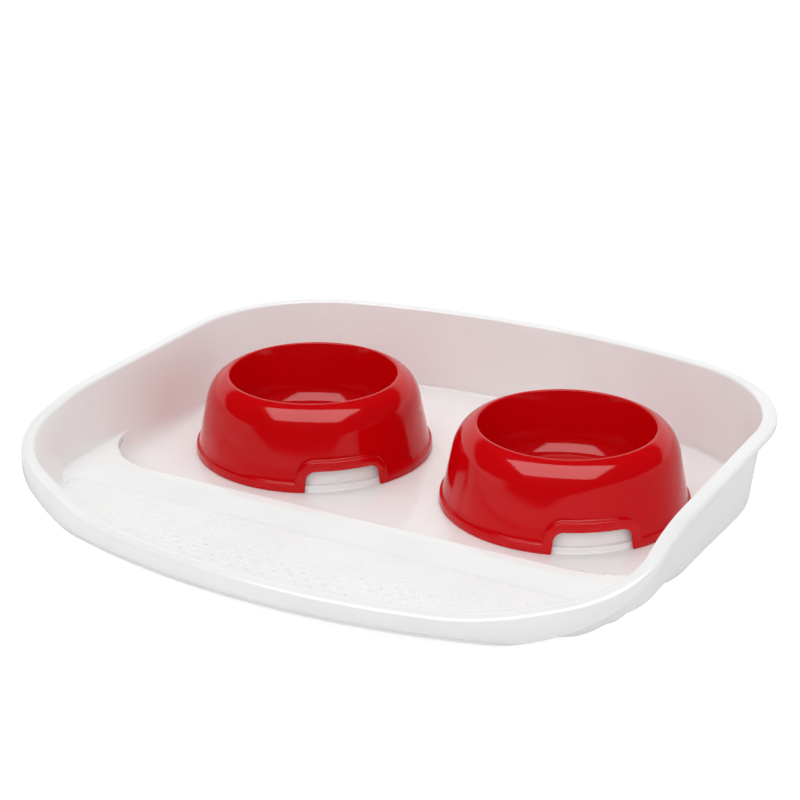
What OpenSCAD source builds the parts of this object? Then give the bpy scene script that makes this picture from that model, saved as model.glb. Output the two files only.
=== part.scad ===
// Double pet bowl: a moulded feeding tray with two hollow seats and two lift-off bowls.
// Lengths are in millimetres. Z is 0 at the underside of the feet, X runs along the tray
// and Y runs from its low bowed front to its back.

/* [Tray] */
// Width of the tray over its rim
tray_w = 506; // [486:5:546]
// Depth of the tray from its bowed front to its back
tray_d = 446; // [436:5:476]
// Height of the rim above the bowl floor at the sides and the back
side_h = 69; // [60:1:80]
// Height of the rim above the bowl floor at the middle of the front
front_h = 25; // [22:1:30]
// Thickness of the moulding
wall = 2.5; // [2:0.1:3]
// Angle by which the walls lean outwards
wall_draft = 6.5; // [4:0.5:9]
// Extra lean of the wall at the two front corners
corner_draft = 18; // [10:1:22]
// Length of rim over which that extra lean fades on each side of a corner
corner_reach = 60; // [40:5:75]
// Radius of the bowed front edge
front_r = 558; // [500:2:700]
// Radius of the bowed back edge
back_r = 660; // [560:5:800]
// Radius of the two front corners
front_corner_r = 62; // [50:1:75]
// Radius of the two back corners
back_corner_r = 125; // [100:1:140]

/* [Rim] */
// Width of the rolled rim
bead_w = 12; // [11:0.5:14]
// Height of the rolled rim's rounded top
bead_h = 4.5; // [4:0.1:6]
// Depth of the turned-down lip along the front
lip_front = 16.5; // [14:0.5:19]
// Depth of the turned-down lip along the sides and the back
lip_side = 6; // [5:0.5:10]
// Where the rim starts to rise, measured along it from the middle of the front
sweep_start = 130; // [110:1:150]
// Where the rim has risen to the height of the sides, measured along it
sweep_end = 352; // [320:1:380]
// Where the lower edge of the lip starts to rise, measured along the rim
lip_start = 165; // [150:1:180]
// Where the lower edge of the lip has risen fully, measured along the rim
lip_end = 335; // [310:1:360]

/* [Floor and dam] */
// Height of the dam's flat top above the bowl floor
dam_h = 17; // [16:0.5:18]
// Height of the front apron above the bowl floor
apron_h = 12; // [10:0.5:13]
// Front edge of the dam's flat top, measured from the front edge of the tray
dam_y = 122; // [118:1:126]
// Width of the dam's flat top
dam_top_w = 13; // [8:0.5:16]
// Run of the dam's sloping front face
dam_run = 20; // [14:1:24]
// Radius of the bowl floor's two front corners
basin_r = 60; // [50:1:64]
// Height of the slope at the foot of the dam and of the walls beside it
bend_h = 9; // [6:0.5:10]
// Height of that slope along the back
bend_back = 2; // [1:0.5:5]
// Length of wall over which the slope falls to its height along the back
bend_run = 120; // [80:5:150]

/* [Bowls] */
// Radius of a bowl over its base flange
bowl_r = 95; // [95:0.5:98]
// Height of a bowl
bowl_h = 62.5; // [60:0.5:68]
// Thickness of a bowl's wall
bowl_wall = 2.2; // [1.8:0.1:2.5]
// Height of the base flange
flange_h = 7; // [5:0.5:9]
// How far the base flange stands out from the skirt
flange_w = 2.2; // [1.5:0.1:3]
// How far the skirt leans in, from the flange's edge to the rounded shoulder
shoulder_in = 9.6; // [8:0.2:12]
// Height of the rounded shoulder
shoulder_h = 20.5; // [16:0.5:24]
// How far below the upper edge the point lies that pulls the shoulder's curve outwards
shoulder_pull = 4; // [2:0.5:8]
// How far the thin upper edge lies inside the flange's edge
rim_in = 26; // [24:0.5:28]
// Depth of the basin
basin_depth = 48; // [42:0.5:50]
// How far the edge of the basin's floor lies inside the flange's edge
basin_floor_in = 52; // [50:0.5:56]
// Radius of the turn from the basin's wall to its floor
basin_turn_r = 16; // [10:1:20]
// Turn of the left bowl's notch from the front, towards the right
left_turn = 45; // [0:1:90]
// Turn of the right bowl's notch from the front, towards the right
right_turn = 37; // [0:1:90]

/* [Seats] */
// Distance between the centres of the two seats
seat_spacing = 220; // [212:1:226]
// Distance of the seats' centres from the back of the tray
seat_back = 178.5; // [170:0.5:186]
// Gap between the inside of a bowl's base and the step round the foot of its seat
seat_gap = 1.5; // [0.8:0.1:4]
// Height of that step
seat_step_h = 4.5; // [3:0.5:6]
// Width of that step
seat_step_w = 2.7; // [2:0.1:4]
// How far a seat's thin lip lies below a bowl's upper edge
seat_drop = 6.5; // [6:0.5:12]
// How far that lip lies outside the bowl's upper edge
seat_lip_out = 2; // [1.5:0.5:3]
// Gap between a seat's shoulder and the inside of the bowl's
shoulder_gap = 1.2; // [0.6:0.1:3]
// Gap under the basin, where it hangs in the seat's round recess
recess_gap = 1.8; // [1:0.1:4]
// How far the recess floor reaches past the basin's floor
recess_out = 3; // [2.5:0.5:5]

/* [Finger notches] */
// Width of a notch at the base
notch_w = 60; // [50:1:70]
// Height of a notch
notch_h = 17; // [14:0.5:20]
// Radius of a notch's upper corners
notch_r = 8; // [5:0.5:10]
// Width of the raised border round a notch
notch_border = 7.5; // [5:0.5:9]

/* [Nubs] */
// Distance between neighbouring nubs in a row
nub_pitch = 13; // [12:0.5:16]
// Distance between rows
nub_row = 6.5; // [6:0.5:9]
// Number of rows
nub_rows = 6; // [2:1:6]
// Nubs in a full row
nub_count = 17; // [5:2:21]
// Radius of a nub
nub_r = 1.9; // [1.5:0.1:2.2]
// Height of a nub
nub_h = 0.8; // [0.5:0.1:1.2]
// First row of nubs, measured from the front edge
nub_y = 61; // [57:1:68]

/* [Feet] */
// Radius of a rubber foot
foot_r = 10; // [8:0.5:12]
// Thickness of a rubber foot
foot_t = 3.5; // [3:0.5:5]
// How far a foot stands out of its pocket
foot_out = 2; // [1.5:0.5:2.5]
// Gap between a foot and the wall of its pocket
foot_gap = 0.2; // [0.1:0.1:0.4]
// Wall of the round pocket
pocket_wall = 2.2; // [1.5:0.1:3]
// Distance of the rear feet from the sides of the tray
rear_foot_side = 63; // [58:1:80]
// Distance of the rear feet from the back of the tray
rear_foot_back = 90; // [80:1:110]
// Distance of the front feet from the sides of the tray
front_foot_side = 68; // [60:1:78]
// Distance of the front feet from the front edge
front_foot_y = 171; // [160:1:180]

/* [Hidden] */

// Overlap that joins solids which meet, and overrun of cuts
lap = 0.3;
// Segments of the exact round shapes
$fn = 96;

// Heights above the ground
floor_z = foot_t + wall;
dam_z = floor_z + dam_h;
apron_z = floor_z + apron_h;

// Places along Y, with 0 in the middle of the tray
front_y = -tray_d / 2;
back_y = tray_d / 2;
seat_y = back_y - seat_back;
dam_front_y = front_y + dam_y;
basin_y = dam_front_y + dam_top_w;
basin_turn_y = basin_y + basin_r;
apron_y = dam_front_y - dam_run;
rear_foot_x = tray_w / 2 - rear_foot_side;
rear_foot_y = back_y - rear_foot_back;
front_foot_x = tray_w / 2 - front_foot_side;
front_foot_line = front_y + front_foot_y;

// Radii and heights of a bowl, and of the seat that it lifts off
shoulder_r = bowl_r - shoulder_in;
rim_r = bowl_r - rim_in;
skirt_r = bowl_r - flange_w - lap;
skirt_lean = (skirt_r - shoulder_r) / (bowl_h - shoulder_h - flange_h);
basin_floor_r = bowl_r - basin_floor_in;
basin_z = bowl_h - basin_depth;
seat_r = bowl_r - bowl_wall - lap - seat_gap;
seat_shoulder_r = shoulder_r - bowl_wall - shoulder_gap;
seat_lip_r = rim_r + seat_lip_out;
seat_h = bowl_h - seat_drop;
recess_z = basin_z - bowl_wall - recess_gap;
recess_floor_r = basin_floor_r + recess_out;

// Steps along each stretch of the half outline
front_steps = 8;
front_corner_steps = 10;
land_steps = 6;
side_steps = 8;
back_corner_steps = 10;
back_steps = 6;
bead_steps = 6;

white = [0.93, 0.93, 0.92];
red = [0.78, 0.01, 0.03];
rubber_grey = [0.35, 0.35, 0.36];

// Smooth step from 0 to 1
function smooth(u) = let (v = min(1, max(0, u))) v * v * (3 - 2 * v);

// Heights of the rim and of the lip's lower edge at one distance along the rim
function rim_z(run) = floor_z + front_h
    + (side_h - front_h) * smooth((run - sweep_start) / (sweep_end - sweep_start));
function lip_z(run) = floor_z + front_h - lip_front
    + (side_h - lip_side - front_h + lip_front) * smooth((run - lip_start) / (lip_end - lip_start));

// Height of the floor beside the wall: bowl floor, then dam, then apron
function foot_z(y) = y > apron_y
    ? floor_z + dam_h * smooth((basin_turn_y - y) / (basin_r / 2))
      - (dam_h - apron_h) * smooth((basin_y - y) / (basin_y - apron_y))
    : apron_z;

// Lean of the slope at the foot of the wall, from upright 0 to 45 degrees 1, and its height
function lean_at(y) = 1 - smooth((basin_turn_y - y) / (basin_r / 2));
function bend_at(y) = lean_at(y)
    * (bend_h - (bend_h - bend_back) * smooth((y - basin_turn_y) / bend_run));
function knee_z(y) = foot_z(y) + bend_at(y) + lap;

// Centres of the corner arcs, which touch the side and the bowed edge
front_corner_x = tray_w / 2 - front_corner_r;
front_corner_y = front_y + front_r
    - sqrt(pow(front_r - front_corner_r, 2) - pow(front_corner_x, 2));
back_corner_x = tray_w / 2 - back_corner_r;
back_corner_y = back_y - back_r
    + sqrt(pow(back_r - back_corner_r, 2) - pow(back_corner_x, 2));
front_turn = asin(front_corner_x / (front_r - front_corner_r));
back_turn = asin(back_corner_x / (back_r - back_corner_r));

// Distances along the rim from the middle of the front to the end of each stretch
front_run = front_r * front_turn * PI / 180;
corner_run = front_run + front_corner_r * (90 - front_turn) * PI / 180;
side_run = corner_run + back_corner_y - front_corner_y;
back_corner_run = side_run + back_corner_r * (90 - back_turn) * PI / 180;

// One outline station: place on the rim's outer edge, the angle of its outward normal
// and the distance along the rim
function arc_stations(cx, cy, r, from, to, steps, first, run) =
    [for (i = [first : steps]) let (a = from + (to - from) * i / steps)
        [cx + r * cos(a), cy + r * sin(a), a, run + r * (a - from) * PI / 180]];
function side_station(y) = [tray_w / 2, y, 0, corner_run + y - front_corner_y];
right_half = concat(
    arc_stations(0, front_y + front_r, front_r, -90, front_turn - 90, front_steps, 0, 0),
    arc_stations(front_corner_x, front_corner_y, front_corner_r,
                 front_turn - 90, 0, front_corner_steps, 1, front_run),
    [for (i = [1 : land_steps])
        side_station(front_corner_y + (basin_turn_y - front_corner_y) * i / land_steps)],
    [for (i = [1 : side_steps])
        side_station(basin_turn_y + (back_corner_y - basin_turn_y) * i / side_steps)],
    arc_stations(back_corner_x, back_corner_y, back_corner_r,
                 0, 90 - back_turn, back_corner_steps, 1, side_run),
    arc_stations(0, back_y - back_r, back_r, 90 - back_turn, 90, back_steps, 1,
                 back_corner_run));
half_count = len(right_half);
stations = concat(right_half,
    [for (i = [half_count - 2 : -1 : 1])
        [-right_half[i][0], right_half[i][1], 180 - right_half[i][2], right_half[i][3]]]);

// Height of the drafted wall and how far its foot lies inside the rim's outer edge
function wall_top(run) = rim_z(run) - bead_h;
function draft_at(run) = wall_draft
    + corner_draft * smooth(1 - abs(run - (front_run + corner_run) / 2) / corner_reach);
function foot_in(run, z) = bead_w + (wall_top(run) - z) * tan(draft_at(run));
basin_x = tray_w / 2 - foot_in(side_run, floor_z + bend_h + lap);

// How far the middle of the wall lies inside its knee, a depth below it on a slope of that lean
function mid_slope(depth, lean) = lean * depth + wall * (lean - sqrt(1 + lean * lean)) / 2;

// Outline of a slab's edge at a chosen height, drawn within the wall's thickness
function inside_outline(z) = [for (s = stations)
    let (depth = max(0, knee_z(s[1]) - z),
         lean = depth > 0 ? lean_at(s[1]) : 0,
         inset = foot_in(s[3], z + depth) + mid_slope(depth, lean))
        [s[0] - inset * cos(s[2]), s[1] - inset * sin(s[2])]];

// Cross-section of wall and rim at one station, as [inset from the outer edge, height]
function section(y, run) =
    let (top = wall_top(run), base = foot_z(y) - wall - lap, lean = lean_at(y),
         knee = knee_z(y), outer_knee = knee - wall * tan(atan(lean) / 2),
         base_in = foot_in(run, knee) + lean * (knee - base), middle = (top + knee) / 2,
         half = bead_w / 2, lip = lip_z(run), thick = wall / cos(draft_at(run)))
    concat(
        [[0, lip], [0, (lip + top) / 2]],
        [for (i = [0 : bead_steps]) let (a = 180 - 180 * i / bead_steps)
            [half + half * cos(a), top + bead_h * sin(a)]],
        [[foot_in(run, middle), middle], [foot_in(run, knee), knee], [base_in, base],
         [base_in - wall * sqrt(1 + lean * lean), base],
         [foot_in(run, outer_knee) - thick, outer_knee], [foot_in(run, middle) - thick, middle]],
        [for (i = [0 : bead_steps]) let (a = 180 * i / bead_steps)
            [half + (half - wall) * cos(a), top - lap + (bead_h - wall + lap) * sin(a)]],
        [[wall, lip]]);
section_count = len(section(0, 0));
station_count = len(stations);

// Points of an elliptical turn in a profile, from one angle to another
function turn(cx, cz, rx, rz, from, to, steps) =
    [for (i = [0 : steps]) let (a = from + (to - from) * i / steps)
        [cx + rx * cos(a), cz + rz * sin(a)]];

// Points of the quadratic curve from one point to another that a third one pulls
function pulled(from, pull, to, steps) =
    [for (i = [0 : steps]) let (t = i / steps)
        (1 - t) * (1 - t) * from + 2 * t * (1 - t) * pull + t * t * to];

// Wall and rolled rim, swept round the outline
module wall_and_rim() {
    points = [for (s = stations, p = section(s[1], s[3]))
        [s[0] - p[0] * cos(s[2]), s[1] - p[0] * sin(s[2]), p[1]]];
    faces = [for (i = [0 : station_count - 1], j = [0 : section_count - 1], k = [0, 1])
        let (i2 = (i + 1) % station_count, j2 = (j + 1) % section_count,
             a = i * section_count + j, b = i2 * section_count + j,
             c = i2 * section_count + j2, d = i * section_count + j2)
            k == 0 ? [a, c, b] : [a, d, c]];
    polyhedron(points = points, faces = faces, convexity = 8);
}

// Plan of the bowl floor, with its two rounded front corners, shrunk by a chosen width
module basin_plan(shrink) {
    turn_x = basin_x - basin_r;
    translate([-tray_w / 2, basin_turn_y]) square([tray_w, tray_d]);
    translate([-turn_x, basin_y + shrink]) square([2 * turn_x, basin_r]);
    for (side = [-1, 1])
        translate([side * turn_x, basin_turn_y]) circle(r = basin_r - shrink);
}

// Slab with the tray's inside outline, between two places along Y
module slab(z, thick, from_y, to_y) {
    translate([0, 0, z - thick]) linear_extrude(thick) intersection() {
        polygon(inside_outline(z));
        translate([-tray_w, from_y]) square([2 * tray_w, to_y - from_y]);
    }
}

module bowl_floor() {
    translate([0, 0, floor_z - wall]) linear_extrude(wall) difference() {
        intersection() {
            polygon(inside_outline(floor_z));
            basin_plan(mid_slope(bend_h + lap, 1));
        }
        for (side = [-1, 1])
            translate([side * seat_spacing / 2, seat_y]) circle(r = seat_r - wall / 2);
    }
}

// Profile of the wall that bounds the bowl floor in front, its slope below, drawn outwards
function basin_wall() =
    let (knee = floor_z + bend_h + lap, base = floor_z - wall + lap, low = base - knee)
    [[low, base], [0, knee], [0, dam_z - lap], [wall, dam_z - lap],
     [wall, knee - wall * tan(45 / 2)], [low + wall * sqrt(2), base]];

// The dam: rear wall with rounded ends, flat top and sloping front face
module dam() {
    turn_x = basin_x - basin_r;
    difference() {
        slab(dam_z, wall, dam_front_y, basin_turn_y);
        translate([0, 0, floor_z]) linear_extrude(2 * dam_h) basin_plan(0);
    }
    translate([-turn_x, basin_y, 0]) rotate([90, 0, 90]) linear_extrude(2 * turn_x)
        mirror([1, 0]) polygon(basin_wall());
    intersection() {
        for (side = [-1, 1])
            translate([side * turn_x, basin_turn_y, 0]) intersection() {
                rotate_extrude() translate([basin_r, 0]) polygon(basin_wall());
                translate([side > 0 ? 0 : -2 * basin_r, -2 * basin_r, 0])
                    cube([2 * basin_r, 2 * basin_r + lap, 2 * dam_z]);
            }
        linear_extrude(2 * dam_z) polygon(inside_outline(dam_z));
    }
    intersection() {
        translate([-tray_w, 0, 0]) rotate([90, 0, 90]) linear_extrude(2 * tray_w)
            polygon([[dam_front_y, dam_z], [dam_front_y + wall, dam_z],
                     [dam_front_y + wall, dam_z - wall],
                     [apron_y + wall, apron_z - wall], [apron_y - wall, apron_z - wall],
                     [apron_y - wall, apron_z], [apron_y, apron_z]]);
        translate([0, 0, apron_z - wall]) linear_extrude(dam_h + wall)
            polygon(inside_outline(apron_z));
    }
}

module apron() {
    slab(apron_z, wall, front_y, apron_y - wall + lap);
    for (row = [0 : nub_rows - 1])
        translate([0, front_y + nub_y - row * nub_row, apron_z - nub_h])
            for (i = [0 : nub_count - 1 - row % 2])
                translate([(i - (nub_count - 1 - row % 2) / 2) * nub_pitch, 0, 0])
                    cylinder(r = nub_r, h = 2 * nub_h, $fn = 16);
}

// Profile of a seat as a thin shell of revolution
function seat_profile() =
    let (wall_r = seat_r - seat_step_w, shoulder_z = seat_h * 0.7,
         lip_in = seat_lip_r - wall, bend = basin_turn_r, rise = (seat_h - shoulder_z) / 2,
         lean = (wall_r - seat_shoulder_r) / (shoulder_z - seat_step_h),
         knee = [seat_shoulder_r - rise * lean, shoulder_z + rise])
    concat(
        [[seat_r - wall, lap - wall], [seat_r, lap - wall], [seat_r, seat_step_h - lap],
         [seat_r - lap, seat_step_h], [wall_r, seat_step_h]],
        pulled([seat_shoulder_r, shoulder_z], knee, [seat_lip_r, seat_h], 8),
        [[lip_in, seat_h]],
        turn(recess_floor_r, recess_z + bend, bend, bend, 0, -90, 6),
        [[0, recess_z], [0, recess_z - wall]],
        turn(recess_floor_r, recess_z + bend, bend + wall, bend + wall, -90, 0, 6),
        pulled([seat_lip_r, seat_h - wall], knee - [wall, wall / 2],
               [seat_shoulder_r - wall, shoulder_z], 8),
        [[wall_r - wall, seat_step_h]]);

module seat() {
    rotate_extrude() polygon(seat_profile());
}

// Round pocket for a foot, open below, hung from the underside of the bowl floor
module foot_pocket(side, x, y) {
    pocket_r = foot_r + foot_gap;
    translate([side * x, y, 0]) difference() {
        translate([0, 0, foot_out])
            cylinder(r = pocket_r + pocket_wall, h = foot_t + lap - foot_out);
        translate([0, 0, -lap]) cylinder(r = pocket_r, h = foot_t + lap);
    }
}

module tray() {
    color(white) union() {
        wall_and_rim();
        bowl_floor();
        dam();
        apron();
        for (side = [-1, 1])
            translate([side * seat_spacing / 2, seat_y, floor_z]) seat();
        for (side = [-1, 1]) {
            foot_pocket(side, rear_foot_x, rear_foot_y);
            foot_pocket(side, front_foot_x, front_foot_line);
        }
    }
}

module foot(side, x, y) {
    color(rubber_grey) translate([side * x, y, 0]) cylinder(r = foot_r, h = foot_t);
}

// Profile of a bowl: flange, skirt, shoulder, thin edge, basin, and the same inside
function bowl_profile() =
    let (turn_z = bowl_h - shoulder_h, edge_r = rim_r - bowl_wall, bend = basin_turn_r,
         knee = [shoulder_r - (shoulder_h - shoulder_pull) * skirt_lean, bowl_h - shoulder_pull])
    concat(
        [[bowl_r - bowl_wall - lap, 0], [bowl_r, 0], [bowl_r - lap, flange_h],
         [skirt_r, flange_h]],
        pulled([shoulder_r, turn_z], knee, [rim_r, bowl_h], 8),
        [[edge_r + bowl_wall / 2, bowl_h], [edge_r, bowl_h - bowl_wall / 2]],
        turn(basin_floor_r, basin_z + bend, bend, bend, 0, -90, 6),
        [[0, basin_z], [0, basin_z - bowl_wall]],
        turn(basin_floor_r, basin_z + bend, bend + bowl_wall, bend + bowl_wall, -90, 0, 6),
        pulled([rim_r, bowl_h - bowl_wall], knee - 0.8 * [bowl_wall, bowl_wall],
               [shoulder_r - bowl_wall, turn_z], 8),
        [[skirt_r - bowl_wall, flange_h]]);

// Outline of a finger notch, open at the base, grown by a chosen width
module notch_plan(grow) {
    r = notch_r + grow;
    w = notch_w / 2 + grow;
    hull() {
        for (side = [-1, 1])
            translate([side * (w - r), notch_h + grow - r]) circle(r = r, $fn = 32);
        translate([-w, -lap]) square([2 * w, lap]);
    }
}

module notch_prism(grow) {
    rotate([90, 0, 0]) translate([0, 0, seat_lip_r]) linear_extrude(bowl_r)
        notch_plan(grow);
}

// Profile of the raised border round the notches, which grows out of the skirt's wall
function border_profile() =
    let (low = flange_h - lap, high = notch_h + 2 * notch_border,
         root_r = skirt_r - bowl_wall / 2)
    [[root_r, low], [bowl_r - 2 * lap, low], [bowl_r - flange_w, high],
     [root_r - skirt_lean * (high - low), high]];

module bowl(turn_angle) {
    color(red) rotate(turn_angle) difference() {
        union() {
            rotate_extrude() polygon(bowl_profile());
            intersection() {
                rotate_extrude() polygon(border_profile());
                union() {
                    notch_prism(notch_border);
                    rotate(180) notch_prism(notch_border);
                }
            }
        }
        notch_prism(0);
        rotate(180) notch_prism(0);
    }
}

module left_bowl() {
    translate([-seat_spacing / 2, seat_y, floor_z]) bowl(left_turn);
}

module right_bowl() {
    translate([seat_spacing / 2, seat_y, floor_z]) bowl(right_turn);
}

tray();
left_bowl();
right_bowl();
foot(-1, rear_foot_x, rear_foot_y);  // foot_rear_left
foot(1, rear_foot_x, rear_foot_y);  // foot_rear_right
foot(-1, front_foot_x, front_foot_line);  // foot_front_left
foot(1, front_foot_x, front_foot_line);  // foot_front_right
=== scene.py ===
# Double pet bowl: a white moulded feeding tray and two red bowls that lift off its seats.
# Lengths in the pieces' dictionaries are in millimetres. Meshes, materials, the camera, the
# floor and the lights are in metres.
import math

import bmesh
import bpy
import numpy as np
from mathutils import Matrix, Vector


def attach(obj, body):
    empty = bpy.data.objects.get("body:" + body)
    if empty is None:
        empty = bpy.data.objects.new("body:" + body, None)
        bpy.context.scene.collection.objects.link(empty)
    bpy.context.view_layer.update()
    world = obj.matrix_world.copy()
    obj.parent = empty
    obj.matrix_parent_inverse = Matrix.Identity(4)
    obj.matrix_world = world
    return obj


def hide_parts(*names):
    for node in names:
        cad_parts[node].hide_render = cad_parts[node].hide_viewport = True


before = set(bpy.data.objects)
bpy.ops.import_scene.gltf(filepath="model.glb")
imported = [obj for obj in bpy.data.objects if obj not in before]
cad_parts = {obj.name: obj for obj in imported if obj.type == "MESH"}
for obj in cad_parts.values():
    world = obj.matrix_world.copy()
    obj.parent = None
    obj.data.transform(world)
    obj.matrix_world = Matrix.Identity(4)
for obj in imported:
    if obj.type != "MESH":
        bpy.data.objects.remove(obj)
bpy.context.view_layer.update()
mm = 0.001
weldDistance = 3e-6  # metres: points of one mesh that lie closer are joined
scene = bpy.context.scene
print("frame loaded:", len(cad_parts), "nodes")

# The view that the photograph was taken from
cameraView = {"azimuth": 28.68, "elevation": 21.98, "distance": 1.6225,
              "target": (-0.0954, 0.1612, 0.006), "lens": 85.5, "sensor": 36, "farthest": 60}


# Unit vector towards a viewer who has walked round by the azimuth, from 0 in front of the
# tray, and looks down by the elevation, both in degrees
def towardsViewer(azimuth, elevation):
    a, e = math.radians(azimuth), math.radians(elevation)
    return Vector((math.sin(a) * math.cos(e), -math.cos(a) * math.cos(e), math.sin(e)))


# Turn a camera or a lamp so that its own -Z axis points at the target
def lookAt(obj, target):
    obj.rotation_euler = (Vector(target) - obj.location).to_track_quat("-Z", "Y").to_euler()


# A camera at its distance from the target, on the line to the viewer
def makeCamera(v):
    cam = bpy.data.objects.new("camera", bpy.data.cameras.new("camera"))
    scene.collection.objects.link(cam)
    towards = towardsViewer(v["azimuth"], v["elevation"])
    cam.location = Vector(v["target"]) + v["distance"] * towards
    lookAt(cam, v["target"])
    cam.data.lens, cam.data.sensor_width = v["lens"], v["sensor"]
    cam.data.clip_end = v["farthest"]
    scene.camera = cam


makeCamera(cameraView)
print("camera placed")


# A shader socket that can be added, subtracted and multiplied: each operator adds a Math node
class Wire:
    def __init__(self, graph, socket):
        self.graph, self.socket = graph, socket

    def maths(self, operation, a, b):
        return self.graph.node("ShaderNodeMath", {"operation": operation}, {0: a, 1: b})

    def __add__(self, other):
        return self.maths("ADD", self, other)

    def __radd__(self, other):
        return self.maths("ADD", other, self)

    def __sub__(self, other):
        return self.maths("SUBTRACT", self, other)

    def __rsub__(self, other):
        return self.maths("SUBTRACT", other, self)

    def __mul__(self, other):
        return self.maths("MULTIPLY", self, other)

    def __rmul__(self, other):
        return self.maths("MULTIPLY", other, self)

    # 0 below low, 1 above high, a smooth step between
    def step(self, low, high):
        return self.graph.node("ShaderNodeMapRange", {"interpolation_type": "SMOOTHSTEP"},
                               {"Value": self, "From Min": low, "From Max": high})


# The nodes of one material, or of the world
class Graph:
    def __init__(self, owner, shader):
        owner.use_nodes = True
        self.owner, self.tree = owner, owner.node_tree
        self.shader = self.tree.nodes[shader]

    # Add a node of a kind, set its settings first, then its sockets' values or links
    def node(self, kind, settings=None, sockets=None, out=0):
        made = self.tree.nodes.new(kind)
        for key, value in (settings or {}).items():
            setattr(made, key, value)
        self.feed(made, sockets or {})
        return Wire(self, made.outputs[out])

    # Link each wire to its socket, and set any other value on its socket
    def feed(self, made, sockets):
        for key, value in sockets.items():
            if isinstance(value, Wire):
                self.tree.links.new(value.socket, made.inputs[key])
            else:
                made.inputs[key].default_value = value

    # The shaded point on a piece, in metres, or with Generated the direction in the world
    def place(self, kind="Object"):
        return self.node("ShaderNodeTexCoord", out=kind)

    # The named coordinates of a point or a direction
    def parts(self, vector, axes):
        split = self.node("ShaderNodeSeparateXYZ", None, {"Vector": vector})
        return [Wire(self, split.socket.node.outputs[axis]) for axis in axes]

    # Cloudy noise between 0 and 1, with its scale in clouds to a metre
    def noise(self, vector, scale, detail, roughness=0.5):
        sockets = {"Vector": vector, "Scale": scale, "Detail": detail, "Roughness": roughness}
        return self.node("ShaderNodeTexNoise", None, sockets, out="Fac")

    # The first colour where the amount is 0, the second where it is 1
    def blend(self, amount, first, second):
        return self.node("ShaderNodeMix", {"data_type": "RGBA"},
                         {0: amount, 6: (*first, 1), 7: (*second, 1)}, out=2)

    # A normal tilted by the slope of a height, which counts in parts of the distance in metres
    def bump(self, height, distance, strength):
        return self.node("ShaderNodeBump", None,
                         {"Height": height, "Distance": distance, "Strength": strength})


# A new material of the name, with its Principled shader
def plasticGraph(name):
    return Graph(bpy.data.materials.new(name), "Principled BSDF")


trayLook = {"white": (0.93, 0.935, 0.932), "shade": (0.9, 0.905, 0.9), "cloudScale": 14,
            "clouds": (0.35, 0.7), "roughness": 0.3, "specular": 0.3, "ior": 1.47,
            "coat": 0.55, "coatRoughness": 0.06, "coatIor": 1.5,
            "grainScale": 900, "grainHeight": 0.015, "grainRoughness": 0.05, "pebbleScale": 400,
            # the apron lies between these heights and in front of this line
            "apronLow": (0.016, 0.0175), "apronHigh": (0.0183, 0.0189),
            "apronBack": (-0.1235, -0.1195), "apronRoughness": 0.14, "apronCoat": 0.6,
            "apronGrain": 0.002, "bump": 0.55}


# Pearly white plastic: two close whites in soft clouds, a faint mould grain everywhere and a
# coarser grain on the apron, which is where the surface is low, level and in front of the dam
def trayPlastic(v):
    g = plasticGraph("pearlyWhitePlastic")
    spot = g.place()
    y, z = g.parts(spot, "YZ")
    apron = (1 - z.step(*v["apronHigh"])) * (1 - y.step(*v["apronBack"])) * z.step(*v["apronLow"])
    clouds = g.noise(spot, v["cloudScale"], 3)
    fine = g.noise(spot, v["grainScale"], 2, 0.6)
    pebbles = g.noise(spot, v["pebbleScale"], 1)
    g.feed(g.shader, {
        "Base Color": g.blend(clouds.step(*v["clouds"]), v["shade"], v["white"]),
        "Roughness": (v["roughness"] + apron * v["apronRoughness"]
                      + (fine - 0.5) * v["grainRoughness"]),
        "Coat Weight": v["coat"] * (1 - apron * v["apronCoat"]),
        "Coat Roughness": v["coatRoughness"], "Coat IOR": v["coatIor"], "IOR": v["ior"],
        "Specular IOR Level": v["specular"],
        "Normal": g.bump(fine * v["grainHeight"] + pebbles * apron, v["apronGrain"], v["bump"])})
    return g.owner


bowlLook = {"red": (0.6, 0.0006, 0.003), "deep": (0.55, 0.0004, 0.002), "flowScale": 9,
            "flow": (0.3, 0.75), "roughness": 0.1, "specular": 0.3, "ior": 1.46,
            "waveScale": 22, "waveHeight": 0.00025, "bump": 0.3, "scuffScale": 340,
            "scuffs": (0.58, 0.75), "scuffTop": (0.012, 0.045), "scuffRoughness": 0.1}


# High gloss red plastic: one saturated red with a slightly deeper one in slow flow marks,
# a faint waviness of the mould and hair-fine scuffs near the base that only change roughness
def bowlPlastic(v):
    g = plasticGraph("glossRedPlastic")
    spot = g.place()
    z = g.parts(spot, "Z")[0]
    flow = g.noise(spot, v["flowScale"], 2)
    waves = g.noise(spot, v["waveScale"], 1)
    scuffs = g.noise(spot, v["scuffScale"], 3, 0.7).step(*v["scuffs"])
    nearBase = 1 - z.step(*v["scuffTop"])
    g.feed(g.shader, {
        "Base Color": g.blend(flow.step(*v["flow"]), v["deep"], v["red"]),
        "Roughness": v["roughness"] + scuffs * nearBase * v["scuffRoughness"],
        "IOR": v["ior"], "Specular IOR Level": v["specular"],
        "Normal": g.bump(waves, v["waveHeight"], v["bump"])})
    return g.owner


rubberLook = {"grey": (0.1, 0.1, 0.105), "dust": (0.17, 0.168, 0.165), "dusty": (0.45, 0.8),
              "roughness": 0.78, "grainScale": 1300, "grainRoughness": 0.2,
              "grainHeight": 0.0002, "bump": 0.5}


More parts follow.
